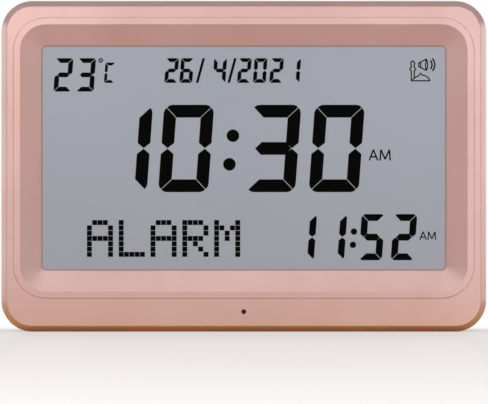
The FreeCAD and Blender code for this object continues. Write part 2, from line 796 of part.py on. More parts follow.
posts = cover.sketch("XZ_Plane", f"{rear_inside} - gasket_thickness - speaker_rim")
speaker_front = f"({rear_inside} - gasket_thickness - speaker_rim)"
for x, z in SPEAKER_POSTS:
    circle(posts, "small_boss_radius", x, z)
cover.pad(posts, f"{rear_inside} - {speaker_front}")
post_pilots = cover.sketch("XZ_Plane", speaker_front)
for x, z in SPEAKER_POSTS:
    circle(post_pilots, "small_screw_radius + thread_play", x, z)
speaker_bite = f"({rear_inside} - {speaker_front} + wall / 2)"
cover.pocket(post_pilots, f"{speaker_bite} + 0.3", to_back=True)
key_posts = cover.sketch("XZ_Plane", key_board_rear)
for x, z in KEY_POSTS:
    circle(key_posts, "small_boss_radius", x, z)
cover.pad(key_posts, f"{rear_inside} - {key_board_rear}")
key_pilots = cover.sketch("XZ_Plane", key_board_rear)
for x, z in KEY_POSTS:
    circle(key_pilots, "small_screw_radius + thread_play", x, z)
cover.pocket(key_pilots, "small_screw_bite + 0.5", to_back=True)

screw_seat = f"({parting} + tube_floor)"
keyhole_x = "(keyhole_spacing / 2)"
keyhole_z = f"({height} - keyhole_drop)"
keyholes = cover.sketch("XZ_Plane", back)
for side in (-1, 1):
    circle(keyholes, "keyhole_radius", f"{side} * {keyhole_x}", keyhole_z)
cover.pocket(keyholes, "wall", to_back=False)
keyhole_slots = cover.sketch("XZ_Plane", back)
for side in (-1, 1):
    rounded_rectangle(
        keyhole_slots, "(2 * keyhole_slot_radius)", "(keyhole_rise + keyhole_slot_radius)",
        "keyhole_slot_radius - 0.02", f"{side} * {keyhole_x}",
        f"{keyhole_z} + (keyhole_rise + keyhole_slot_radius) / 2",
    )
cover.pocket(keyhole_slots, "wall", to_back=False)

# The grille is a stack of bars trimmed to a circle and taken out of the back.
grille_bars = []
bar_count = int(amount("grille_radius") / amount("grille_pitch"))
for step in range(-bar_count, bar_count + 1):
    rise = f"speaker_height + {step} * grille_pitch"
    grille_bars.append(
        box(
            f"grille_bar_{step + bar_count}",
            (f"{speaker_x} - grille_radius", f"{speaker_x} + grille_radius"),
            (f"{rear_inside} - 1", f"{back} + 1"),
            (f"{rise} - grille_slot / 2", f"{rise} + grille_slot / 2"),
        )
    )
grille_disc = rod(
    "grille_disc", "grille_radius", "wall + 2", (speaker_x, f"{rear_inside} - 1", "speaker_height")
)
grille_comb = joined("grille_comb", grille_bars)
grille = doc.addObject("Part::MultiCommon", "grille_slots")
grille.Shapes = [grille_comb, grille_disc]
fail_if_bad(grille)
lead_bores = [
    rod(
        f"lead_bore_{side + 1}", "wire_radius + 0.3", "wall + 1",
        (f"{bay_x} + {side} * {cell_pitch}", lead_y, f"{bay_top} - 0.5"), "z",
    )
    for side in (-1, 1)
]
screw_bores = []
for number, (x, z) in enumerate(CASE_BOSSES):
    head_bore = rod(
        f"head_bore_{number}", "case_screw_head_radius + screw_play", f"{back} - {screw_seat} + 1",
        (x, screw_seat, z),
    )
    shank_bore = rod(
        f"shank_bore_{number}", "case_screw_radius + screw_play", "tube_floor + 2", (x, f"{parting} - 1", z)
    )
    screw_bores.extend([head_bore, shank_bore])
cover_cuts = joined("cover_cuts", [grille, *lead_bores, *screw_bores])
piece(cut("rear_cover_cut", cover.body, cover_cuts), "rear_cover")

# Display stack.
half_glass = f"({glass_width} / 2)"
glass_sides = (f"-{half_glass}", half_glass)
front_glass = box("front_glass_box", glass_sides, (glass, rear_glass), (glass_bottom, glass_top))
piece(front_glass, "lcd_front_glass")
back_glass = box("rear_glass_box", glass_sides, (rear_glass, film), (glass_bottom, rear_glass_top))
piece(back_glass, "lcd_rear_glass")
reflector = box(
    "film_box",
    (f"film_inset - {half_glass}", f"{half_glass} - film_inset"),
    (film, guide),
    (f"{glass_bottom} + film_inset", f"{rear_glass_top} - film_inset"),
)
piece(reflector, "lcd_reflector_film")
guide_low = f"({glass_bottom} + guide_inset)"
guide_plate = box(
    "guide_box",
    (f"guide_inset - {half_glass}", f"{half_glass} - guide_inset"),
    (guide, guide_rear),
    (guide_low, f"{rear_glass_top} - guide_inset"),
)
piece(guide_plate, "light_guide")
lamp_strip = box(
    "lamp_strip_box",
    ("-lamp_strip_length / 2", "lamp_strip_length / 2"),
    (guide, guide_rear),
    (glass_bottom, f"{glass_bottom} + lamp_strip_thickness"),
)
piece(lamp_strip, "backlight_strip")
lamps = []
for number in range(4):
    x = f"({number - 1.5} * lamp_strip_length / 4)"
    lamps.append(
        box(
            f"lamp_{number}",
            (f"{x} - lamp_length / 2", f"{x} + lamp_length / 2"),
            (f"{guide} + 0.4", f"{guide_rear} - 0.4"),
            (f"{glass_bottom} + lamp_strip_thickness", f"{guide_low} - 0.1"),
        )
    )
piece(group("lamp_group", lamps), "backlight_lamps")
ledge_middle = f"({rear_glass_top} + contact_ledge / 2)"
contact_strip = box(
    "rubber_strip_box",
    ("-rubber_strip_length / 2", "rubber_strip_length / 2"),
    (rear_glass, board),
    (f"{ledge_middle} - rubber_strip_width / 2", f"{ledge_middle} + rubber_strip_width / 2"),
)
piece(contact_strip, "contact_strip")

# Tray that holds the stack against the window frame.
tray = Maker("display_tray")
stack_middle = f"(({glass_bottom} + {glass_top}) / 2)"
stack_height = f"({glass_top} - {glass_bottom})"
tray_outline = tray.sketch("XZ_Plane", f"{glass} + tray_play")
rounded_rectangle(
    tray_outline, f"({glass_width} + 2 * {tray_margin})", f"({stack_height} + 2 * {tray_margin})", "1.5",
    "0", stack_middle,
)
tray.pad(tray_outline, f"{tray_rear} - {glass} - tray_play")
ears = tray.sketch("XZ_Plane", guide_rear)
for x, z in TRAY_BOSSES:
    rectangle(ears, "(tray_ear + 1)", "(tray_ear + 1)", x, z)
tray.pad(ears, "tray_wall")
pocket_outline = tray.sketch("XZ_Plane", f"{glass} + tray_play")
rounded_rectangle(
    pocket_outline, f"({glass_width} + 2 * tray_play)", f"({stack_height} + 2 * tray_play)", "0.5",
    "0", stack_middle,
)
tray.pocket(pocket_outline, f"{guide_rear} - {glass} - tray_play")
strip_slot = tray.sketch("XZ_Plane", guide_rear)
slot_length = "(rubber_strip_length + 2 * tray_play)"
rectangle(strip_slot, slot_length, "(rubber_strip_width + tray_play)", "0", ledge_middle)
tray.pocket(strip_slot, "tray_wall")
ear_holes = tray.sketch("XZ_Plane", guide_rear)
for x, z in TRAY_BOSSES:
    circle(ear_holes, "small_screw_radius + screw_play", x, z)
tray.pocket(ear_holes, "tray_wall")
rests = tray.sketch("XZ_Plane", tray_rear)
pins = tray.sketch("XZ_Plane", board)
for x, z in BOARD_POSTS:
    circle(rests, "small_boss_radius", x, z)
    circle(pins, "small_screw_radius", x, z)
tray.pad(rests, "board_standoff")
tray.pad(pins, "board_thickness + 0.8")
piece(tray.body, "lcd_tray")

# Main board and the parts soldered to it.
main = Maker("main_board_body")
board_sheet = main.sketch("XZ_Plane", board)
board_middle = f"(({board_bottom} + {board_top}) / 2)"
board_height = f"({board_top} - {board_bottom})"
rounded_rectangle(board_sheet, "board_width", board_height, "2", "0", board_middle)
main.pad(board_sheet, "board_thickness")
board_holes = main.sketch("XZ_Plane", board)
for x, z in BOARD_BOSSES + BOARD_POSTS:
    circle(board_holes, "small_screw_radius + screw_play", x, z)
main.pocket(board_holes, "board_thickness")
piece(main.body, "main_board")


def on_board(name, x, z, across, up, tall):
    """A block that stands on the rear face of the main board."""
    return box(
        name,
        (f"{x} - {across} / 2", f"{x} + {across} / 2"),
        (board_rear, f"{board_rear} + {tall}"),
        (f"{board_bottom} + {z} - {up} / 2", f"{board_bottom} + {z} + {up} / 2"),
    )


chip = doc.addObject("Part::Cone", "chip_dome")
chip.Placement = Placement(Vector(), TURNS["y"])
bind(chip, "Radius1", "chip_cover_radius")
bind(chip, "Radius2", "0.6 * chip_cover_radius")
bind(chip, "Height", "chip_cover_height")
bind(chip, ".Placement.Base.x", "-16")
bind(chip, ".Placement.Base.y", board_rear)
bind(chip, ".Placement.Base.z", f"{board_bottom} + 20")
chip_round = doc.addObject("Part::Fillet", "chip_round")
doc.recompute()
chip_round.Base = chip
top_edge = [
    number
    for number, edge in enumerate(chip.Shape.Edges, start=1)
    if all(near(v.Point.y, amount(board_rear) + amount("chip_cover_height")) for v in edge.Vertexes)
]
chip_round.Edges = [(number, 1.2, 1.2) for number in top_edge]
piece(chip_round, "chip_cover")
sound_chips = [
    on_board(f"sound_chip_{n}", x, "18", "sound_chip_length", "sound_chip_width", "sound_chip_height")
    for n, x in enumerate(("-44", "-34"))
]
piece(group("sound_chip_group", sound_chips), "sound_chips")
crystal = rod(
    "crystal_can", "crystal_radius", "crystal_length",
    ("4", f"{board_rear} + crystal_radius", f"{board_bottom} + 22"), "x",
)
piece(crystal, "quartz_crystal")
capacitors = [
    rod(f"capacitor_{n}", "capacitor_radius", "capacitor_height", (x, board_rear, f"{board_bottom} + 14"))
    for n, x in enumerate(("18", "27"))
]
piece(group("capacitor_group", capacitors), "capacitors")
socket_z = "(3.4 + socket_depth / 2)"
SOCKETS = {"speaker": speaker_x, "sensor": "0", "battery": f"({bay_x} - {cell_pitch} + 1.5)"}
sockets = [
    on_board(f"socket_{name}", x, socket_z, "socket_width", "socket_depth", "socket_height")
    for name, x in SOCKETS.items()
]
piece(group("socket_group", sockets), "wire_sockets")
thermistor = rod(
    "thermistor_bead", "thermistor_radius", "2.4",
    ("-74", f"{board_rear} + thermistor_radius", f"{board_bottom} + 40"), "x",
)
piece(thermistor, "thermistor")
screws(
    "board_screws", BOARD_BOSSES, board_rear, "small_screw_bite", "small_screw_radius",
    "small_screw_head_radius", "small_screw_head",
)
screws(
    "tray_screws", TRAY_BOSSES, tray_rear, "small_screw_bite", "small_screw_radius",
    "small_screw_head_radius", "small_screw_head",
)

# Light sensor, its nose behind the hole in the lower border.
sensor_place = ("0", f"{face_inside} + 0.2", "sensor_height")
sensor_body = rod("sensor_can", "sensor_radius", "sensor_length", sensor_place)
piece(sensor_body, "light_sensor")
sensor_rear = f"({face_inside} + 0.2 + sensor_length)"

# Key board with switches, plungers and caps.
board_2_half = f"({key_post_x} + small_boss_radius + 0.8)"
keys_pcb = Maker("key_board_body")
keys_sheet = keys_pcb.sketch("XZ_Plane", key_board_front)
rounded_rectangle(keys_sheet, f"(2 * {board_2_half})", "key_board_width", "1.5", "0", "key_row_height")
keys_pcb.pad(keys_sheet, "key_board_thickness")
keys_holes = keys_pcb.sketch("XZ_Plane", key_board_front)
for x, z in KEY_POSTS:
    circle(keys_holes, "small_screw_radius + screw_play", x, z)
keys_pcb.pocket(keys_holes, "key_board_thickness")
piece(keys_pcb.body, "key_board")
screws(
    "key_board_screws", KEY_POSTS, key_board_front, "small_screw_bite", "small_screw_radius",
    "small_screw_head_radius", "small_screw_head", to_front=False,
)
switches = []
for name, x in [*KEY_PLACES.items(), ("reset", reset_x)]:
    shell = box(
        f"switch_shell_{name}",
        (f"{x} - switch_size / 2", f"{x} + switch_size / 2"),
        (key_board_rear, switch_top),
        ("key_row_height - switch_size / 2", "key_row_height + switch_size / 2"),
    )
    fail_if_bad(shell)
    hole_depth = "(plunger_root + key_travel + 0.4)"
    hole = rod(
        f"switch_hole_{name}", "plunger_radius + 0.1", f"{hole_depth} + 1",
        (x, f"{switch_top} - {hole_depth}", "key_row_height"),
    )
    switches.append(cut(f"switch_{name}", shell, hole))
piece(group("switch_group", switches), "key_switches")
for name, x in KEY_PLACES.items():
    plunger = rod(
        f"plunger_{name}", "plunger_radius", "plunger_root + plunger_proud",
        (x, f"{switch_top} - plunger_root", "key_row_height"),
    )
    piece(plunger, f"{name}_plunger")
    cap = Maker(f"cap_{name}")
    flange = cap.sketch("XZ_Plane", plunger_tip)
    rounded_rectangle(
        flange, "(key_length + 2 * key_flange_border)", "(key_width + 2 * key_flange_border)",
        "1 + key_flange_border", x, "key_row_height",
    )
    cap.pad(flange, "key_flange")
    stem = cap.sketch("XZ_Plane", key_flange_top)
    rounded_rectangle(stem, "key_length", "key_width", "1", x, "key_row_height")
    cap.pad(stem, f"{panel_floor} + key_proud - {key_flange_top}")
    cap_y = amount(f"{panel_floor} + key_proud")
    cap_edges = cap.edges_at(lambda p: near(p.y, cap_y))
    fail_if_bad(cap.edge_work("Fillet", cap_edges, Radius="0.4"))
    piece(cap.body, f"{name}_key")

# Loudspeaker: pan, paper cone, magnet, gasket and its screws.


def turned(name, corners):
    """A ring-shaped piece turned about the speaker's axis. Corners are (radius, y) pairs."""
    maker = Maker(name)
    profile = maker.sketch("XY_Plane")
    polygon(profile, corners)
    turning = maker.body.newObject("PartDesign::Revolution", f"{name}_turning")
    turning.Profile = profile
    turning.ReferenceAxis = (profile, ["V_Axis"])
    turning.Angle = 360
    bind(maker.body, ".Placement.Base.x", speaker_x)
    bind(maker.body, ".Placement.Base.z", "speaker_height")
    return fail_if_bad(maker.body)


rim_rear = f"({rear_inside} - gasket_thickness)"
pan_radius = "(speaker_radius - speaker_rim_width)"
pan_bottom = f"({rim_rear} - speaker_rim - 4)"
pan_hole = "(magnet_radius - 3)"
pan = turned(
    "speaker_pan",
    [
        (pan_hole, f"{pan_bottom} - speaker_sheet"),
        (pan_radius, f"{pan_bottom} - speaker_sheet"),
        (pan_radius, f"{rim_rear} - speaker_rim"),
        ("speaker_radius", f"{rim_rear} - speaker_rim"),
        ("speaker_radius", rim_rear),
        (f"{pan_radius} - speaker_sheet", rim_rear),
        (f"{pan_radius} - speaker_sheet", pan_bottom),
        (pan_hole, pan_bottom),
    ],
)
piece(pan, "speaker_basket")
gasket = turned(
    "speaker_gasket_ring",
    [
        (pan_radius, rim_rear),
        ("speaker_radius", rim_rear),
        ("speaker_radius", rear_inside),
        (pan_radius, rear_inside),
    ],
)
piece(gasket, "speaker_gasket")
magnet_front = f"({pan_bottom} - speaker_sheet - magnet_thickness)"
magnet = turned(
    "speaker_magnet_pot",
    [
        ("0", magnet_front),
        ("magnet_radius", magnet_front),
        ("magnet_radius", f"{pan_bottom} - speaker_sheet"),
        ("0", f"{pan_bottom} - speaker_sheet"),
    ],
)
piece(magnet, "speaker_magnet")
cone_edge = f"({pan_radius} - speaker_sheet - 0.05)"
cone = turned(
    "speaker_paper",
    [
        ("0", f"{pan_bottom} + magnet_gap"),
        ("cone_neck_radius", f"{pan_bottom} + magnet_gap"),
        (cone_edge, f"{rim_rear} - cone_thickness"),
        (cone_edge, rim_rear),
        (f"{cone_edge} - 1.5", rim_rear),
        ("cone_neck_radius", f"{pan_bottom} + magnet_gap + cone_thickness"),
        ("0", f"{pan_bottom} + magnet_gap + cone_thickness"),
    ],
)
piece(cone, "speaker_cone")
screws(
    "speaker_screws", SPEAKER_POSTS, speaker_front, speaker_bite, "small_screw_radius",
    "speaker_head_radius", "small_screw_head", to_front=False,
)

# Battery bay: cells, springs and contact plates.
plate_low = ("bay_base", "bay_base + contact_thickness")
plate_high = (f"{bay_top} - contact_thickness", bay_top)
plate_y = (f"{cell_y} - contact_size / 2", f"{cell_y} + contact_size / 2")
half_plate = "(contact_size / 2)"
cells = []
springs = []
plates = []
for number, nub_up in zip((-1, 0, 1), (True, False, True)):
    x = f"({bay_x} + {number} * {cell_pitch})"
    spring_room = "(contact_thickness + spring_length)"
    nub_room = "(contact_thickness + cell_nub)"
    low = f"(bay_base + {spring_room if nub_up else nub_room})"
    nub_start = f"({low} + cell_length)" if nub_up else f"({low} - cell_nub)"
    can = rod(f"cell_can_{number + 1}", "cell_radius", "cell_length", (x, cell_y, low), "z")
    nub = rod(f"cell_nub_{number + 1}", "cell_nub_radius", "cell_nub", (x, cell_y, nub_start), "z")
    cells.append(joined(f"cell_{number + 1}", [can, nub]))
    coil_start = "(bay_base + contact_thickness)" if nub_up else f"({low} + cell_length)"
    coil = doc.addObject("Part::Helix", f"coil_{number + 1}")
    bind(coil, "Pitch", "(spring_length - 2 * spring_wire_radius) / spring_turns")
    bind(coil, "Height", "spring_length - 2 * spring_wire_radius")
    bind(coil, "Radius", "spring_coil_radius")
    coil.SegmentLength = 0.25
    bind(coil, ".Placement.Base.x", x)
    bind(coil, ".Placement.Base.y", cell_y)
    bind(coil, ".Placement.Base.z", f"{coil_start} + spring_wire_radius")
    wire = doc.addObject("Part::Circle", f"spring_wire_{number + 1}")
    wire.Placement = Placement(Vector(), TURNS["y"])
    bind(wire, "Radius", "spring_wire_radius")
    bind(wire, ".Placement.Base.x", f"{x} + spring_coil_radius")
    bind(wire, ".Placement.Base.y", cell_y)
    bind(wire, ".Placement.Base.z", f"{coil_start} + spring_wire_radius")
    doc.recompute()
    sweep = doc.addObject("Part::Sweep", f"spring_{number + 1}")
    sweep.Sections = [wire]
    sweep.Spine = (coil, [f"Edge{n}" for n in range(1, len(coil.Shape.Edges) + 1)])
    sweep.Solid = True
    sweep.Frenet = True
    springs.append(fail_if_bad(sweep))
piece(group("cell_group", cells), "aa_cells")
piece(group("spring_group", springs), "battery_springs")
first, last = f"({bay_x} - {cell_pitch})", f"({bay_x} + {cell_pitch})"
PLATE_SPANS = (
    ("low_pair", f"{first} - {half_plate}", f"{bay_x} + {half_plate}", plate_low),
    ("low_end", f"{last} - {half_plate}", f"{last} + {half_plate}", plate_low),
    ("high_end", f"{first} - {half_plate}", f"{first} + {half_plate}", plate_high),
    ("high_pair", f"{bay_x} - {half_plate}", f"{last} + {half_plate}", plate_high),
)
for name, left, right, levels in PLATE_SPANS:
    plates.append(box(f"plate_{name}", (left, right), plate_y, levels))
piece(group("plate_group", plates), "battery_plates")

# Battery door with its two tongues below and the pressed grip at the top.
door = Maker("door_plate")
door_front = f"({door_seat} + 0.05)"
door_outline = door.sketch("XZ_Plane", door_front)
door_width = f"({door_recess_width} - 2 * door_gap)"
door_height = f"({door_recess_height} - 2 * door_gap)"
rounded_rectangle(door_outline, door_width, door_height, "1.2", bay_x, bay_middle)
door.pad(door_outline, f"{back} - {door_front}")
tongues = door.sketch("XZ_Plane", tongue_inner)
tongue_root_top = "(bay_base + 1)"
tongue_tip = "(bay_base - door_ledge + door_gap - tongue_reach)"
for side in (-1, 1):
    rectangle(
        tongues, "tongue_width", f"({tongue_root_top} - {tongue_tip})",
        f"{bay_x} + {side} * {tongue_x}", f"({tongue_root_top} + {tongue_tip}) / 2",
    )
door.pad(tongues, "tongue_thickness")
roots = door.sketch("XZ_Plane", f"{tongue_inner} + 0.2")
for side in (-1, 1):
    rectangle(
        roots, "tongue_width", f"({tongue_root_top} - bay_base)",
        f"{bay_x} + {side} * {tongue_x}", f"({tongue_root_top} + bay_base) / 2",
    )
door.pad(roots, f"{back} - 0.5 - {tongue_inner} - 0.2")
door_high = f"({bay_top} + door_ledge - door_gap)"
latch_slots = door.sketch("XZ_Plane", back)
for side in (-1, 1):
    rectangle(
        latch_slots, "latch_slot", "(2 * latch_length)",
        f"{bay_x} + {side} * (latch_width + latch_slot) / 2", door_high,
    )
door.pocket(latch_slots, "wall", to_back=False)
grip = door.sketch("XZ_Plane", back)
rounded_rectangle(
    grip, "latch_width - 2", "2.2", "1", bay_x, f"{door_high} - latch_length / 2"
)
door.pocket(grip, "scoop_depth", to_back=False)
piece(door.body, "battery_door")

# Folding stand: plate with a rounded head, hinge pins and a foot.
stand = Maker("stand_plate")
plate_middle = f"(stand_foot_gap + stand_length / 2)"
stand_front = f"({stand_axis_y} - stand_thickness / 2)"
plate_outline = stand.sketch("XZ_Plane", stand_front)
rounded_rectangle(plate_outline, "stand_width", "stand_length", "0.5", "0", plate_middle)
stand.pad(plate_outline, "stand_thickness")
head = stand.sketch("YZ_Plane", "0")
circle(head, "stand_thickness / 2", stand_axis_y, stand_axis_z)
stand.pad(head, "stand_width", both=True)
hinge_pins = stand.sketch("YZ_Plane", "0")
circle(hinge_pins, "stand_pin_radius", stand_axis_y, stand_axis_z)
stand.pad(hinge_pins, "stand_width + 2 * (stand_play + stand_pin_length)", both=True)
window = stand.sketch("XZ_Plane", stand_front)
rounded_rectangle(window, "stand_width - 16", "stand_length - 30", "3", "0", f"{plate_middle} + 1")
stand.pocket(window, "1.2")
finger = stand.sketch("XZ_Plane", stand_front)
circle(finger, "stand_notch_radius - 3", "0", "stand_foot_gap")
stand.pocket(finger, "stand_thickness")
piece(stand.body, "stand_leg")

screws(
    "case_screws", CASE_BOSSES, screw_seat, "case_screw_bite", "case_screw_radius",
    "case_screw_head_radius", "case_screw_head",
)


def lead(name, corners, radius, bend, across=None):
    """A wire, or a ribbon when across is given, run through corners with round bends."""
    points = [Vector(*(amount(part) for part in corner)) for corner in corners]
    edges = []
    start = points[0]
    for before, corner, after in zip(points, points[1:], points[2:]):
        to_back_dir = (before - corner).normalize()
        onward = (after - corner).normalize()
        enter = corner + to_back_dir * bend
        leave = corner + onward * bend
        hub = corner + (to_back_dir + onward) * bend
        halfway = hub + (corner - hub).normalize() * bend
        edges.append(Part.LineSegment(start, enter).toShape())
        edges.append(Part.Arc(enter, halfway, leave).toShape())
        start = leave
    edges.append(Part.LineSegment(start, points[-1]).toShape())
    heading = (points[1] - points[0]).normalize()
    if across is None:
        section = Part.Wire(Part.Circle(points[0], heading, radius).toShape())
    else:
        sideways = Vector(1, 0, 0)
        upward = heading.cross(sideways).normalize()
        spots = [(-1, -1), (1, -1), (1, 1), (-1, 1), (-1, -1)]
        section = Part.makePolygon(
            [points[0] + sideways * (u * across / 2) + upward * (v * radius) for u, v in spots]
        )
    solid = Part.Wire(edges).makePipeShell([section], True, False)
    item = doc.addObject("Part::Feature", name)
    item.Shape = solid
    return item


wire = amount("wire_radius")
socket_low = f"({board_bottom} + 3.4)"
wire_y = f"({board_rear} + socket_height / 2)"
speaker_leads = []
for side in (-1, 1):
    x = f"{speaker_x} + {side} * 1.5"
    terminal_z = "(speaker_height + magnet_radius + 4.5)"
    way = [
        (x, f"{pan_bottom} - speaker_sheet", terminal_z),
        (x, wire_y, terminal_z),
        (x, wire_y, socket_low),
    ]
    speaker_leads.append(lead(f"speaker_lead_{side + 1}", way, wire, 1.5))
piece(group("speaker_lead_pair", speaker_leads), "speaker_leads")
sensor_leads = []
for side in (-1, 1):
    x = f"{side} * 0.85"
    way = [(x, sensor_rear, "sensor_height"), (x, wire_y, "sensor_height"), (x, wire_y, socket_low)]
    sensor_leads.append(lead(f"sensor_lead_{side + 1}", way, 0.5, 1.5))
piece(group("sensor_lead_pair", sensor_leads), "sensor_leads")
left_x = first
right_x = f"({first} + 3)"
turn_z = f"({bay_top} + wall + 1.7)"
left_way = [
    (left_x, lead_y, bay_top),
    (left_x, lead_y, turn_z),
    (left_x, wire_y, turn_z),
    (left_x, wire_y, socket_low),
]
right_way = [
    (last, lead_y, bay_top),
    (last, lead_y, turn_z),
    (right_x, lead_y, turn_z),
    (right_x, wire_y, turn_z),
    (right_x, wire_y, socket_low),
]
battery_leads = [lead("battery_lead_0", left_way, wire, 1.2), lead("battery_lead_1", right_way, wire, 1.2)]
piece(group("battery_lead_pair", battery_leads), "battery_leads")
ribbon_z = "(key_row_height - key_board_width / 2 + 2)"
ribbon_x = "34"
ribbon_y = f"(({key_board_front} + {board_rear}) / 2)"
ribbon_way = [
    (ribbon_x, key_board_front, ribbon_z),
    (ribbon_x, ribbon_y, ribbon_z),
    (ribbon_x, ribbon_y, f"{ribbon_z} - 8"),
    (ribbon_x, board_rear, f"{ribbon_z} - 8"),
]
ribbon = lead("ribbon_band", ribbon_way, amount("ribbon_thickness") / 2, 1.2, amount("ribbon_width"))
piece(ribbon, "key_ribbon")

os.makedirs("parts", exist_ok=True)
for item in PIECES:
    item.Shape.exportStep(f"parts/{item.Label}.step")
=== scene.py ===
import math

import bpy
import numpy as np
from mathutils import Matrix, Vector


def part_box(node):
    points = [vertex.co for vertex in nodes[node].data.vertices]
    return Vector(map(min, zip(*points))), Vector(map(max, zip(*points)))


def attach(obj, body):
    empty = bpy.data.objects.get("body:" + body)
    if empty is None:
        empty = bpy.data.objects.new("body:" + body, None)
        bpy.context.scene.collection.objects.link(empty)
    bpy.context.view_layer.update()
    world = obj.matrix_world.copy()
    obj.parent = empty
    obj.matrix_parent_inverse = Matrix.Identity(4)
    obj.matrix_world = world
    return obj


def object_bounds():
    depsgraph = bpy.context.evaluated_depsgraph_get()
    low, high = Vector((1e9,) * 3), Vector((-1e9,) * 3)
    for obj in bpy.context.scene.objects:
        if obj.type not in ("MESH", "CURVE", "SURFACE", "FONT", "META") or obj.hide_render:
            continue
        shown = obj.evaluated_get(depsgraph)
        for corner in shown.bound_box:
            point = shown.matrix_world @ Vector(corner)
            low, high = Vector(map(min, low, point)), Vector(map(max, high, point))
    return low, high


# A prayer-time clock seen straight on, standing on glossy white. Lengths are in metres unless a
# name ends in Px: those are places in the photograph, whose scale is millimetresPerPixel.

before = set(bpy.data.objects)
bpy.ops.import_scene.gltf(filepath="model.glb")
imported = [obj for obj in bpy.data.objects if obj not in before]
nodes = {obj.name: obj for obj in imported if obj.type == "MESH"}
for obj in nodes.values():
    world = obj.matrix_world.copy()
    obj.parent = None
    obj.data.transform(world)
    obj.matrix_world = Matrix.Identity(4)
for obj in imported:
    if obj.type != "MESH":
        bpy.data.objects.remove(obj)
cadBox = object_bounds()
mm = 0.001
picture = {
    "widthPx": 488, "heightPx": 404, "centreXPx": 243.75, "baseYPx": 331.4, "metresPerPx": 0.4537 * mm,
}
print("frame loaded:", len(nodes), "nodes")


def linear(code, alpha=1.0):
    # Turns an sRGB hex code into the linear light that shaders take.
    parts = [int(code[i:i + 2], 16) / 255 for i in (1, 3, 5)]
    return [c / 12.92 if c <= 0.04045 else ((c + 0.055) / 1.055) ** 2.4 for c in parts] + [alpha]


def addNode(tree, kind, links=(), **values):
    # Adds a shader node. A value goes to the property of its name, or else to the socket.
    node = tree.nodes.new(kind)
    for name, value in values.items():
        if hasattr(node, name):
            setattr(node, name, value)
        else:
            node.inputs[name.replace("_", " ")].default_value = value
    for source, target in links:
        tree.links.new(source, node.inputs[target])
    return node


def newMaterial(name, **values):
    # A principled material with constant sockets. Returns the material, its tree and its shader.
    material = bpy.data.materials.new(name)
    material.use_nodes = True
    tree = material.node_tree
    shader = tree.nodes["Principled BSDF"]
    for socket, value in values.items():
        shader.inputs[socket.replace("_", " ")].default_value = value
    return material, tree, shader


def addNoise(tree, scale, detail):
    # A noise in object coordinates.
    where = addNode(tree, "ShaderNodeTexCoord")
    links = [(where.outputs["Object"], "Vector")]
    return addNode(tree, "ShaderNodeTexNoise", links, Scale=scale, Detail=detail)


grain = {"detail": 3.0, "strength": 0.35}
patch = {"scale": 38, "detail": 2.0, "darkFrom": 0.3, "lightFrom": 0.7}


def addGrain(tree, shader, scale, height):
    # Fine surface relief.
    noise = addNoise(tree, scale, grain["detail"])
    links = [(noise.outputs["Fac"], "Height")]
    bump = addNode(tree, "ShaderNodeBump", links, Strength=grain["strength"], Distance=height)
    tree.links.new(bump.outputs[0], shader.inputs["Normal"])


def varyColour(tree, shader, noise, low, high):
    # Varies the base colour between two colours with a noise.
    ramp = addNode(tree, "ShaderNodeValToRGB", [(noise.outputs["Fac"], "Fac")])
    dark, light = ramp.color_ramp.elements
    dark.position, light.position = patch["darkFrom"], patch["lightFrom"]
    dark.color, light.color = linear(low), linear(high)
    tree.links.new(ramp.outputs[0], shader.inputs["Base Color"])


def varyRoughness(tree, shader, noise, low, high):
    spread = addRange(tree, noise.outputs["Fac"], (0.0, 1.0), (low, high))
    tree.links.new(spread, shader.inputs["Roughness"])


def addRange(tree, source, before, after):
    # Maps one range of a value to another, and returns the output.
    node = addNode(tree, "ShaderNodeMapRange", [(source, "Value")])
    for socket, value in zip(("From Min", "From Max", "To Min", "To Max"), before + after):
        node.inputs[socket].default_value = value
    return node.outputs[0]


finishes = {
    # name: base colour, second colour, metallic, roughness range, grain scale and height
    "bezelPaint": ("#d9b8b4", "#d4b1ac", 0.55, (0.34, 0.4), 5200, 0.000012),
    "coverPlastic": ("#2b2a2b", "#323132", 0.0, (0.5, 0.62), 2600, 0.00006),
    "keyPlastic": ("#4a4849", "#525051", 0.0, (0.4, 0.5), 3000, 0.00003),
    "whitePlastic": ("#dfe0de", "#e7e8e6", 0.0, (0.45, 0.55), 2000, 0.00002),
    "darkPlastic": ("#151516", "#1d1d1e", 0.0, (0.35, 0.5), 2400, 0.00002),
    "boardGreen": ("#0f4a25", "#12572c", 0.0, (0.3, 0.42), 900, 0.00002),
    "rubberBlack": ("#1a1a1a", "#232323", 0.0, (0.7, 0.85), 1500, 0.00004),
    "steelPlain": ("#a9aaac", "#b9babc", 1.0, (0.28, 0.42), 1800, 0.00001),
    "nickelBright": ("#c4c2bc", "#cfcdc8", 1.0, (0.15, 0.28), 1500, 0.000008),
    "cellJacket": ("#1d4a7c", "#214f84", 0.2, (0.25, 0.35), 900, 0.00001),
    "wireJacket": ("#a3201c", "#ad2a25", 0.0, (0.4, 0.5), 1200, 0.00002),
    "paperCone": ("#1c1b1a", "#272523", 0.0, (0.75, 0.9), 1400, 0.00008),
    "foamRing": ("#202021", "#2b2b2c", 0.0, (0.85, 0.95), 1100, 0.00015),
    "lampResin": ("#efe9c8", "#f6f1d6", 0.0, (0.2, 0.3), 900, 0.00001),
    "sensorResin": ("#150d0d", "#1d1212", 0.0, (0.1, 0.18), 900, 0.000005),
}
materials = {}
for name, (base, second, metallic, rough, scale, height) in finishes.items():
    material, tree, shader = newMaterial(name, Metallic=metallic)
    addGrain(tree, shader, scale, height)
    patches = addNoise(tree, patch["scale"], patch["detail"])
    varyColour(tree, shader, patches, base, second)
    varyRoughness(tree, shader, patches, rough[0], rough[1])
    materials[name] = material

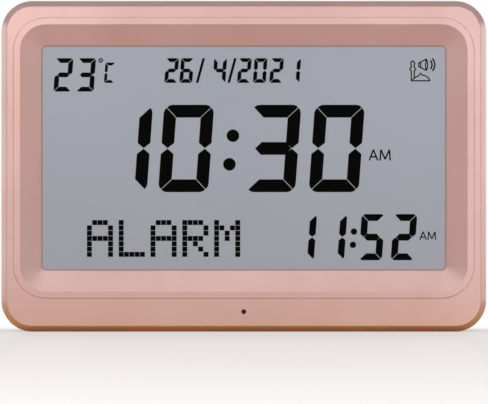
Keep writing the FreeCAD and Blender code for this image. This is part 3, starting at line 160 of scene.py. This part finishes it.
# The display's polariser: a cool grey sheet that varies softly over its width.
displaySheet = {"low": "#a6b3c1", "high": "#adb9c7", "roughness": 0.28, "specular": 0.32, "scale": 6.0}
material, tree, shader = newMaterial(
    "displaySheet", Roughness=displaySheet["roughness"], Specular_IOR_Level=displaySheet["specular"]
)
clouds = addNoise(tree, displaySheet["scale"], patch["detail"])
varyColour(tree, shader, clouds, displaySheet["low"], displaySheet["high"])
materials["displaySheet"] = material

inks = {
    # name: colour, roughness, specular level, grain height
    "segmentBlack": ("#020202", 0.42, 0.03, 0.000004),
    "legendInk": ("#c9c7c4", 0.6, 0.5, 0.00001),
}
inkGrainScale = 1500
for name, (colour, rough, specular, height) in inks.items():
    material, tree, shader = newMaterial(
        name, Base_Color=linear(colour), Roughness=rough, Specular_IOR_Level=specular
    )
    addGrain(tree, shader, inkGrainScale, height)
    materials[name] = material
print("materials made:", len(materials))

nodeFinishes = {
    "bezelPaint": ["front_bezel"],
    "coverPlastic": ["rear_cover", "battery_door", "stand_leg"],
    "displaySheet": ["lcd_front_glass", "lcd_rear_glass"],
    "whitePlastic": ["lcd_reflector_film", "light_guide", "lcd_tray", "wire_sockets", "key_ribbon"],
    "boardGreen": ["backlight_strip", "main_board", "key_board"],
    "lampResin": ["backlight_lamps"],
    "rubberBlack": ["contact_strip"],
    "darkPlastic": ["chip_cover", "sound_chips", "thermistor"],
    "steelPlain": [
        "board_screws", "tray_screws", "key_board_screws", "speaker_screws", "case_screws",
        "key_switches", "speaker_basket", "speaker_magnet",
    ],
    "nickelBright": ["quartz_crystal", "battery_springs", "battery_plates"],
    "cellJacket": ["capacitors", "aa_cells"],
    "sensorResin": ["light_sensor"],
    "foamRing": ["speaker_gasket"],
    "paperCone": ["speaker_cone"],
    "wireJacket": ["speaker_leads", "sensor_leads", "battery_leads"],
}
keyNames = ("mode", "set", "up", "down", "azan", "light")
nodeFinishes["keyPlastic"] = [f"{name}_key" for name in keyNames]
nodeFinishes["darkPlastic"] += [f"{name}_plunger" for name in keyNames]
for finish, names in nodeFinishes.items():
    for name in names:
        for entry in nodes[name].material_slots:
            entry.material = materials[finish]
print("nodes painted")


def flatPiece(name, outlines, front, back, finish, body):
    # Closed outlines in (x, z), run from y = front to y = back as thin plates of one mesh.
    verts, faces = [], []
    for outline in outlines:
        ring = np.asarray(outline, dtype=float)
        area = np.sum(ring[:, 0] * np.roll(ring[:, 1], -1) - np.roll(ring[:, 0], -1) * ring[:, 1])
        if area < 0:
            ring = ring[::-1]
        count, start = len(ring), len(verts)
        verts += [(x, front, z) for x, z in ring] + [(x, back, z) for x, z in ring]
        faces.append([start + i for i in range(count)])
        faces.append([start + count + i for i in reversed(range(count))])
        faces += [
            [start + (i + 1) % count, start + i, start + count + i, start + count + (i + 1) % count]
            for i in range(count)
        ]
    mesh = bpy.data.meshes.new(name)
    mesh.from_pydata(verts, [], faces)
    mesh.update()
    piece = bpy.data.objects.new(name, mesh)
    bpy.context.scene.collection.objects.link(piece)
    mesh.materials.append(materials[finish])
    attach(piece, body)


def fromPicture(outline):
    # Points in pixels of the photograph to (x, z) on the case.
    points = np.asarray(outline, dtype=float)
    x = (points[:, 0] - picture["centreXPx"]) * picture["metresPerPx"]
    z = (picture["baseYPx"] - points[:, 1]) * picture["metresPerPx"]
    return np.stack([x, z], axis=1)


def arcPoints(cx, cy, radius, start, end, steps=6):
    # Points of an arc, with angles in degrees and y down as in the picture.
    angles = np.radians(np.linspace(start, end, steps + 1))
    return [(cx + radius * math.cos(a), cy - radius * math.sin(a)) for a in angles]


def digitSegments(wide, tall, stroke, gap, rounding):
    # The seven segments of a digit whose lower left corner is (0, 0), with y up. The ring has
    # round outer corners of radius r, and cuts of width g run through its corners and its waist.
    s, g, r, mid = stroke, gap, rounding, tall / 2
    h = s / 2

    def onCorner(degrees):
        turn = math.radians(degrees)
        return r + r * math.cos(turn), tall - r + r * math.sin(turn)

    def flipX(shape):
        return [(wide - x, y) for x, y in reversed(shape)]

    def flipY(shape):
        return [(x, tall - y) for x, y in reversed(shape)]

    x, y = onCorner(135)
    half = [(s + g, tall - s), (x + g, y)] + [onCorner(a) for a in (118, 104, 90)]
    top = half + flipX(half)
    upperLeft = [(s, tall - s - g), (x, y - g)] + [onCorner(a) for a in (152, 166, 180)]
    upperLeft += [(0, mid + g + h * 0.8), (h, mid + g * 0.7), (s, mid + g + h * 0.8)]
    upperRight, lowerLeft = flipX(upperLeft), flipY(upperLeft)
    overBar = [(h + g, mid), (s + g * 0.6, mid + h)]
    middle = overBar + flipX(overBar)
    middle += [(wide - s - g * 0.6, mid - h), (s + g * 0.6, mid - h)]
    return {
        "a": top, "b": upperRight, "c": flipX(lowerLeft), "d": flipY(top), "e": lowerLeft,
        "f": upperLeft, "g": middle,
    }


litSegments = {
    "0": "abcdef", "1": "bc", "2": "abged", "3": "abgcd", "4": "fgbc", "5": "afgcd",
    "6": "afgedc", "C": "afed", " ": "",
}


def drawDigits(text, style, places):
    # Outlines of digits, in pixels. Each place is the left end of a digit's foot.
    sizes = [style[key] for key in ("wide", "tall", "stroke", "gap", "rounding")]
    cell = digitSegments(*sizes)
    lean = math.tan(math.radians(digitLean))
    shapes = []
    for letter, left in zip(text, places):
        for key in litSegments[letter]:
            shapes.append([(left + x + y * lean, style["footY"] - y) for x, y in cell[key]])
    return shapes


strokeOverlap = 0.1


def strokeShape(points, width):
    # A thick line through points, in pixels, as short four-sided plates that overlap a little.
    shapes = []
    for first, last in zip(points, points[1:]):
        first, last = np.array(first, dtype=float), np.array(last, dtype=float)
        along = (last - first) / np.linalg.norm(last - first)
        across = np.array([-along[1], along[0]]) * width / 2
        start, end = first - along * width * strokeOverlap, last + along * width * strokeOverlap
        shapes.append([start + across, end + across, end - across, start - across])
    return shapes


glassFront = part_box("lcd_front_glass")[0][1]
markPlate = {"front": glassFront - 0.03 * mm, "back": glassFront + 0.02 * mm}


def drawColon(colon):
    lastAngle = 360 - 360 / colon["corners"]
    steps = colon["corners"] - 1
    return [arcPoints(x, y, colon["radius"], 0, lastAngle, steps) for x, y in colon["dots"]]


def displayPiece(name, shapes):
    outlines = [fromPicture(shape) for shape in shapes]
    flatPiece(name, outlines, markPlate["front"], markPlate["back"], "segmentBlack", "case")


digitLean = 4.1
bigTime = {"wide": 50, "tall": 87.3, "stroke": 12.7, "gap": 0.45, "rounding": 9, "footY": 191.9}
bigShapes = drawDigits("1030", bigTime, (96.8, 158, 245.1, 308.6))
bigColon = {"radius": 6.3, "dots": ((232.9, 135.5), (229.4, 164.1)), "corners": 24}
bigShapes += drawColon(bigColon)
displayPiece("bigTime", bigShapes)

temperature = {"wide": 17.6, "tall": 33.3, "stroke": 4.7, "gap": 0.35, "rounding": 2.4, "footY": 91.3}
unitSign = {"wide": 10, "tall": 20.3, "stroke": 2.8, "gap": 0.28, "rounding": 1.3, "footY": 82.7}
degreeRing = {"x": 100.7, "y": 60.2, "radius": 1.7, "line": 1.2, "sides": 14}
heat = drawDigits("23", temperature, (53.4, 76)) + drawDigits("C", unitSign, (103.9,))
ringPoints = arcPoints(degreeRing["x"], degreeRing["y"], degreeRing["radius"], 0, 360, degreeRing["sides"])
heat += strokeShape(ringPoints, degreeRing["line"])
displayPiece("temperature", heat)

calendar = {"wide": 12.9, "tall": 24.6, "stroke": 3.8, "gap": 0.3, "rounding": 1.9, "footY": 82.6}
dateShapes = drawDigits("2642021", calendar, (164.3, 179.3, 212.4, 237, 252.8, 269.2, 286.4))
slash = {"footX": (195.8, 227.4), "run": 6.6, "wide": 2.6, "topY": 58}
for left in slash["footX"]:
    top, foot = left + slash["run"], calendar["footY"]
    lower = [(left, foot), (left + slash["wide"], foot)]
    upper = [(top + slash["wide"], slash["topY"]), (top, slash["topY"])]
    dateShapes.append(lower + upper)
displayPiece("calendarDate", dateShapes)

prayerTime = {"wide": 23.4, "tall": 46.1, "stroke": 6.8, "gap": 0.4, "rounding": 4.4, "footY": 260}
prayerShapes = drawDigits("1152", prayerTime, (290.4, 320.6, 358.4, 390.6))
smallColon = {"radius": 3.2, "dots": ((353.9, 231.4), (352.9, 244.6)), "corners": 18}
prayerShapes += drawColon(smallColon)
displayPiece("alarmTime", prayerShapes)


# A word in 5 by 7 dots, each letter written as its rows from the top.
dotLetters = {
    "A": (14, 17, 17, 31, 17, 17, 17), "L": (16, 16, 16, 16, 16, 16, 31),
    "R": (30, 17, 17, 30, 20, 18, 17), "M": (17, 27, 21, 21, 17, 17, 17),
}
dotGrid = {
    "leftPx": 86.9, "topPx": 219.9, "pitchPx": 5.3, "dotPx": 4.9, "letterPx": 31.8, "columns": 5,
    "word": "ALARM",
}
dots = []
for place, letter in enumerate(dotGrid["word"]):
    for row, bits in enumerate(dotLetters[letter]):
        for column in range(dotGrid["columns"]):
            if bits >> (dotGrid["columns"] - 1 - column) & 1:
                x = dotGrid["leftPx"] + place * dotGrid["letterPx"] + column * dotGrid["pitchPx"]
                y = dotGrid["topPx"] + row * dotGrid["pitchPx"]
                side = dotGrid["dotPx"]
                dots.append([(x, y + side), (x + side, y + side), (x + side, y), (x, y)])
displayPiece("dotWord", dots)

# A small outline picture of a tower, a dome and a horn that sounds.
signLines = {
    "tower": [
        (411.2, 80.6), (411.2, 70.6), (410, 69.6), (410, 68), (411.2, 67.2), (411.2, 64),
        (410.4, 63.2), (412.7, 60.4), (415, 63.2), (414.2, 64), (414.2, 67.2), (415.4, 68),
        (415.4, 69.6), (414.2, 70.6), (414.2, 77.6),
    ],
    "dome": [
        (412.4, 79.6), (415.2, 77.2), (418.6, 75.6), (420.6, 72.8), (422.4, 75), (426, 75.8),
        (428.4, 77.6), (429.8, 80.6), (411.2, 80.6),
    ],
    "horn": [
        (418.6, 66.2), (418.6, 63), (426.2, 58.8), (427.6, 62.2), (427.6, 67.2), (426.2, 70.2), (418.6, 66.2),
    ],
    "throat": [(420.6, 62.2), (420.6, 67)],
    "mouth": [(426.2, 58.8), (425.4, 64.6), (426.2, 70.2)],
}
signLineWidth = 1.2
waves = {"x": 425.6, "y": 64.5, "radii": (6.4, 9.2), "halfAngle": 42, "width": 1.5}
signPicture = []
for line in signLines.values():
    signPicture += strokeShape(line, signLineWidth)
for radius in waves["radii"]:
    wave = arcPoints(waves["x"], waves["y"], radius, -waves["halfAngle"], waves["halfAngle"], 6)
    signPicture += strokeShape(wave, waves["width"])
displayPiece("callSign", signPicture)

# The letters A and M as strokes on a grid one unit tall, for the marks beside the two times.
markStrokes = [
    [(0, 0), (0.4, 1), (0.8, 0)], [(0.14, 0.34), (0.66, 0.34)],
    [(1.02, 0), (1.1, 1), (1.5, 0.12), (1.9, 1), (1.98, 0)],
]
morningMarks = {
    # name: left end, foot, height and line width, in pixels
    "bigMorningMark": (369.2, 160.2, 10.6, 1.5),
    "smallMorningMark": (419.9, 239.5, 7.9, 1.15),
}
for name, (left, foot, tall, width) in morningMarks.items():
    mark = []
    for line in markStrokes:
        mark += strokeShape([(left + x * tall, foot - y * tall) for x, y in line], width)
    displayPiece(name, mark)
print("display drawn")

letterDepth = 0.02 * mm


def legend(name, text, place, size, body):
    # Flat printed letters centred on a place and read from behind.
    curve = bpy.data.curves.new(name, "FONT")
    curve.body = text
    curve.size = size
    curve.align_x = "CENTER"
    curve.align_y = "CENTER"
    curve.extrude = letterDepth
    holder = bpy.data.objects.new(name, curve)
    bpy.context.scene.collection.objects.link(holder)
    bpy.context.view_layer.update()
    mesh = bpy.data.meshes.new_from_object(holder)
    bpy.data.objects.remove(holder)
    x, y, z = place
    mesh.transform(Matrix(((-1, 0, 0, x), (0, 0, 1, y), (0, 1, 0, z), (0, 0, 0, 1))))
    mesh.materials.clear()
    mesh.materials.append(materials["legendInk"])
    piece = bpy.data.objects.new(name, mesh)
    bpy.context.scene.collection.objects.link(piece)
    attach(piece, body)


# Legends under the keys, by the reset hole and on the battery door.
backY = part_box("rear_cover")[1][1]
legendPlan = {
    "keySize": 2.2 * mm, "keyDrop": 0.9 * mm, "panelDepth": 1.6 * mm, "resetX": 51 * mm, "resetZ": 107.2 * mm,
    "doorSize": 3.4 * mm, "openDrop": 14 * mm, "cellRise": 12 * mm,
}
panelY = backY - legendPlan["panelDepth"]
for name in keyNames:
    low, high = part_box(f"{name}_key")
    place = ((low[0] + high[0]) / 2, panelY, low[2] - legendPlan["keyDrop"])
    legend(f"{name}Legend", name.upper(), place, legendPlan["keySize"], "case")
resetPlace = (legendPlan["resetX"], panelY, legendPlan["resetZ"])
legend("resetLegend", "RESET", resetPlace, legendPlan["keySize"], "case")
doorLow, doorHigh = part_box("battery_door")
doorMiddle = (doorLow[0] + doorHigh[0]) / 2
openPlace = (doorMiddle, backY, doorHigh[2] - legendPlan["openDrop"])
cellPlace = (doorMiddle, backY, doorLow[2] + legendPlan["cellRise"])
legend("openLegend", "OPEN", openPlace, legendPlan["doorSize"], "door")
legend("cellLegend", "3 x AA 1.5V", cellPlace, legendPlan["doorSize"], "door")
print("legends printed")

# Floor and surroundings. The floor is white, keeps the shadow, and mirrors faintly.
floorPlan = {
    "reach": 6.0, "grey": "#c4c4c4", "lift": 0.5, "liftColour": (1, 0.975, 0.96, 1), "roughness": 0.04,
    "mirror": (0.03, 0.13), "mirrorY": (-0.7, -0.015), "fadeY": (0.005, 0.05),
    # tint and frontTint are colours that only the case sees in the floor: painted reflection, not the floor's
    # own colour.
    "tint": "#ffd98a", "frontTint": "#f6e4dc", "tintY": (-0.07, -0.02), "tintEndY": (0.012, 0.03),
}
reach = floorPlan["reach"]
floorCorners = [(-reach, -reach, 0), (reach, -reach, 0), (reach, reach, 0), (-reach, reach, 0)]
floorMesh = bpy.data.meshes.new("floor")
floorMesh.from_pydata(floorCorners, [], [(0, 1, 2, 3)])
floor = bpy.data.objects.new("floor", floorMesh)
bpy.context.scene.collection.objects.link(floor)
material = bpy.data.materials.new("floorWhite")
material.use_nodes = True
tree = material.node_tree
tree.nodes.remove(tree.nodes["Principled BSDF"])


def mixShaders(tree, factor, first, second):
    mixed = addNode(tree, "ShaderNodeMixShader", [(factor, 0)])
    tree.links.new(first.outputs[0], mixed.inputs[1])
    tree.links.new(second.outputs[0], mixed.inputs[2])
    return mixed


matte = addNode(tree, "ShaderNodeBsdfDiffuse", Color=linear(floorPlan["grey"]))
lift = addNode(tree, "ShaderNodeEmission", Color=floorPlan["liftColour"], Strength=floorPlan["lift"])
white = addNode(tree, "ShaderNodeAddShader")
tree.links.new(matte.outputs[0], white.inputs[0])
tree.links.new(lift.outputs[0], white.inputs[1])
shine = addNode(tree, "ShaderNodeBsdfGlossy", Roughness=floorPlan["roughness"])
spot = addNode(tree, "ShaderNodeTexCoord")
axes = addNode(tree, "ShaderNodeSeparateXYZ", [(spot.outputs["Object"], "Vector")])
alongY = axes.outputs["Y"]
polish = mixShaders(tree, addRange(tree, alongY, floorPlan["mirrorY"], floorPlan["mirror"]), white, shine)
# Behind the case the floor fades into the white backdrop.
plain = addNode(tree, "ShaderNodeEmission", Color=(1, 1, 1, 1), Strength=1.0)
ground = mixShaders(tree, addRange(tree, alongY, floorPlan["fadeY"], (0.0, 1.0)), polish, plain)
# What the case mirrors of the floor under it, and the light it gets back from there, is a warm tint that the
# camera never sees: a painted reflection, which gives its lower bevel its brown.
nearness = addRange(tree, alongY, floorPlan["tintY"], (0.0, 1.0))
behind = addRange(tree, alongY, floorPlan["tintEndY"], (1.0, 0.0))
band = addNode(tree, "ShaderNodeMath", [(nearness, 0), (behind, 1)], operation="MULTIPLY")
tint = addNode(tree, "ShaderNodeMix", [(band.outputs[0], "Factor")], data_type="RGBA")
tint.inputs["A"].default_value = linear(floorPlan["frontTint"])
tint.inputs["B"].default_value = linear(floorPlan["tint"])
paintedReflection = addNode(tree, "ShaderNodeBsdfDiffuse", [(tint.outputs["Result"], "Color")])
seen = addNode(tree, "ShaderNodeLightPath")
final = mixShaders(tree, seen.outputs["Is Camera Ray"], paintedReflection, ground)
tree.links.new(final.outputs[0], tree.nodes["Material Output"].inputs["Surface"])
floorMesh.materials.append(material)

scene = bpy.context.scene
scene.view_settings.view_transform = "Standard"
world = bpy.data.worlds.new("studio")
scene.world = world
world.use_nodes = True
tree = world.node_tree
room = tree.nodes["Background"]
roomLight = {"colour": "#d9d4d2", "strength": 0.62}
room.inputs["Color"].default_value = linear(roomLight["colour"])
room.inputs["Strength"].default_value = roomLight["strength"]
paper = addNode(tree, "ShaderNodeBackground", Color=(1, 1, 1, 1), Strength=1.0)
rays = addNode(tree, "ShaderNodeLightPath")
choose = mixShaders(tree, rays.outputs["Is Camera Ray"], room, paper)
tree.links.new(choose.outputs[0], tree.nodes["World Output"].inputs["Surface"])


def areaLight(name, place, aim, size, power, colour="#ffffff"):
    # A rectangular panel that faces the aimed point and doesn't show to the camera.
    light = bpy.data.lights.new(name, "AREA")
    light.shape = "RECTANGLE"
    light.size, light.size_y = size
    light.energy = power
    light.color = linear(colour)[:3]
    lamp = bpy.data.objects.new(name, light)
    scene.collection.objects.link(lamp)
    lamp.location = place
    lamp.visible_camera = False
    direction = np.array(aim, dtype=float) - np.array(place, dtype=float)
    yaw = math.atan2(direction[1], direction[0])
    pitch = math.asin(direction[2] / np.linalg.norm(direction))
    lamp.rotation_euler = (math.pi / 2 + pitch, 0, yaw - math.pi / 2)


areaLight("skyPanel", (0, -0.75, 0.85), (0, 0, 0.05), (1.2, 0.5), 1.9)
areaLight("leftPanel", (-0.3, -1.0, 0.32), (-0.11, 0, 0.13), (0.22, 0.3), 1.4, "#fff6f0")
areaLight("frontPanel", (0.0, -1.5, 0.34), (0, 0, 0.075), (1.3, 0.3), 0.75)
areaLight("rightPanel", (0.32, -1.0, 0.14), (0.11, 0, 0.06), (0.2, 0.35), 1.05)
areaLight("backPanel", (0, 1.1, 0.4), (0, 0, 0.08), (1.2, 0.6), 5.5)
areaLight("leftStrip", (-0.9, 0.62, 0.12), (-0.1, 0, 0.08), (0.4, 0.5), 0.9)
areaLight("rightStrip", (0.9, 0.62, 0.12), (0.1, 0, 0.08), (0.4, 0.5), 1.0)

# The camera looks along +Y at half the case's height. The photograph's scale holds at the widest
# section of the case, which lies outlineDepth behind its front.
cameraSetup = {
    "distance": 2.0, "sensor": 36.0, "centreYPx": 166.3, "x": 0.1 * mm, "z": 75 * mm, "outlineDepth": 5 * mm,
}
camera = bpy.data.cameras.new("camera")
camera.sensor_width = cameraSetup["sensor"]
distance = cameraSetup["distance"]
spanSeen = picture["widthPx"] * picture["metresPerPx"] * distance / (distance + cameraSetup["outlineDepth"])
camera.lens = cameraSetup["sensor"] * distance / spanSeen
camera.shift_y = -(picture["heightPx"] / 2 - cameraSetup["centreYPx"]) / picture["widthPx"]
cameraObject = bpy.data.objects.new("camera", camera)
scene.collection.objects.link(cameraObject)
cameraObject.location = (cameraSetup["x"], cadBox[0][1] - distance, cameraSetup["z"])
cameraObject.rotation_euler = (math.pi / 2, 0, 0)
scene.camera = cameraObject
print("stage lit")
